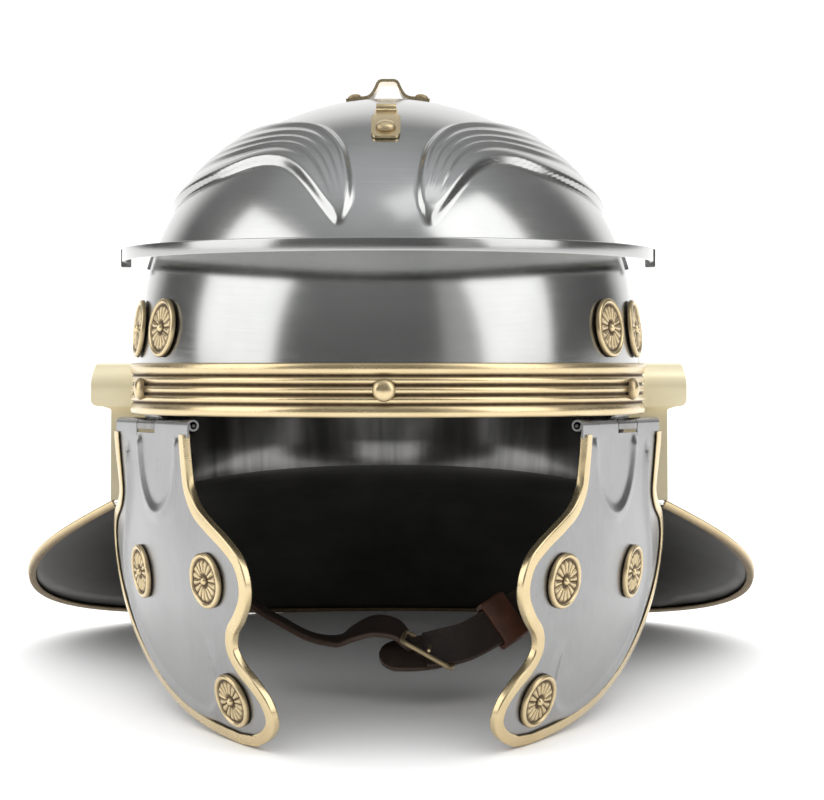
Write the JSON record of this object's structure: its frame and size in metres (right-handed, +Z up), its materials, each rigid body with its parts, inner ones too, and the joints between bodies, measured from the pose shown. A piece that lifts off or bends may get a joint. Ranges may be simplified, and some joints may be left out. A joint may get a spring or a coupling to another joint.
{
  "type": "roman legionary helmet",
  "caption": "Roman legionary helmet: steel bowl and neck guard, brass brow band and fittings, hinged cheek pieces, leather chin strap.",
  "frame": {"origin": "centre of the bounding box on the floor that the helmet stands on", "axes": "+Z up, -Y the way the wearer looks, +X the wearer's left"},
  "size_m": [0.3202, 0.3266, 0.2532],
  "materials": {
    "steel": "satin brushed steel with soft blue-grey reflections, blackened inside",
    "pale_steel": "pale satin steel, blackened inside",
    "brass": "antique satin brass, darker in the grooves",
    "leather": "dark brown harness leather",
    "red_leather": "reddish brown leather"
  },
  "bodies": {
    "helmet": {"skull": "steel", "neck_guard_edging": "brass", "brow_bar": "steel", "brow_bar_rivet_right": "steel", "brow_bar_rivet_left": "steel", "brow_band": "brass", "band_rivet_front": "brass", "band_rivet_right": "brass", "band_rivet_left": "brass", "bowl_rosette_right_front": "brass", "bowl_rosette_left_front": "brass", "bowl_rosette_right_rear": "brass", "bowl_rosette_left_rear": "brass", "ear_guard_right": "brass", "ear_guard_left": "brass", "ear_guard_rivet_right_front": "brass", "ear_guard_rivet_left_front": "brass", "ear_guard_rivet_right_rear": "brass", "ear_guard_rivet_left_rear": "brass", "crest_bridge": "brass", "crest_bridge_rivet_right": "brass", "crest_bridge_rivet_left": "brass", "crest_hook": "brass", "crest_hook_rivet": "brass", "hinge_leaf_right": "steel", "hinge_leaf_left": "steel", "hinge_pin_right": "steel", "hinge_pin_left": "steel", "chin_strap_left": "leather", "chin_strap_right": "leather", "chin_strap_buckle": "brass", "chin_strap_keeper": "red_leather", "chin_strap_rivet_right": "brass", "chin_strap_rivet_left": "brass"},
    "cheek_left": {"cheek_piece_left": "pale_steel", "cheek_edging_left": "brass", "cheek_rosette_left_front": "brass", "cheek_rosette_left_rear": "brass", "cheek_rosette_left_lower": "brass"},
    "cheek_right": {"cheek_piece_right": "pale_steel", "cheek_edging_right": "brass", "cheek_rosette_right_front": "brass", "cheek_rosette_right_rear": "brass", "cheek_rosette_right_lower": "brass"}
  },
  "joints": [
    {"name": "cheek_right_hinge", "type": "hinge", "parent": "helmet", "child": "cheek_right", "pos_m": [0.0732, -0.12133, 0.12234], "axis": [-0.4121, -0.9065, 0.0919], "range_deg": [0, 95]},
    {"name": "cheek_left_hinge", "type": "hinge", "parent": "helmet", "child": "cheek_left", "pos_m": [-0.0732, -0.12133, 0.12234], "axis": [-0.4121, 0.9065, -0.0919], "range_deg": [0, 95]}
  ]
}
